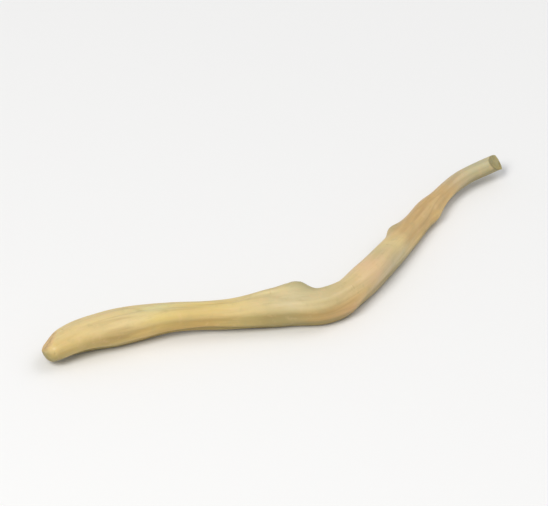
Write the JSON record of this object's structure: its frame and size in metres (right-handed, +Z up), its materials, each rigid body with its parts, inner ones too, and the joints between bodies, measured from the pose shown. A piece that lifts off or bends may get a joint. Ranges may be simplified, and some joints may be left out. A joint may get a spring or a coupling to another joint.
{
  "type": "safed musli root",
  "caption": "Dried, peeled finger root with a swollen crown half, a bent elbow and a slender tail, lying on its side on a flat surface.",
  "frame": {"origin": "middle of the root's bounding box, on the surface that it lies on", "axes": "+X from the blunt crown end towards the tail, +Y towards the back, where the tail points, +Z up"},
  "size_m": [0.0732, 0.0565, 0.0067],
  "materials": {
    "root_skin": "satin"
  },
  "bodies": {
    "root": {"root": "root_skin"}
  },
  "joints": []
}
